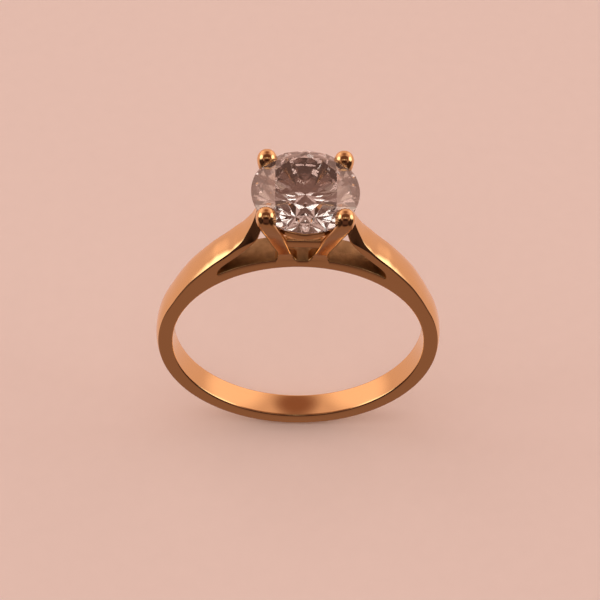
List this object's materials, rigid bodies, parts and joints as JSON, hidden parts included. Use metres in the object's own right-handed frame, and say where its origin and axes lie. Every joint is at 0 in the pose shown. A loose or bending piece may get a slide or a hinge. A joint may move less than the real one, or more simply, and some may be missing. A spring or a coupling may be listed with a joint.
{
  "type": "engagement ring",
  "caption": "Yellow gold cathedral solitaire ring with a round brilliant stone held by claws above an open gallery.",
  "frame": {"origin": "centre of the finger hole, at the middle of the band's width", "axes": "+Y along the finger hole's axis, +Z from the finger hole up to the stone, +X towards the right shoulder"},
  "size_m": [0.0188, 0.0066, 0.0246],
  "materials": {
    "yellow_gold": "polished",
    "stone": "faceted and polished"
  },
  "bodies": {
    "root": {"finger_band": "yellow_gold", "finger_rail": "yellow_gold", "left_shoulder": "yellow_gold", "right_shoulder": "yellow_gold", "gallery_ring": "yellow_gold", "basket_frame": "yellow_gold", "front_left_claw": "yellow_gold", "front_right_claw": "yellow_gold", "back_left_claw": "yellow_gold", "back_right_claw": "yellow_gold", "stone": "stone"}
  },
  "joints": []
}
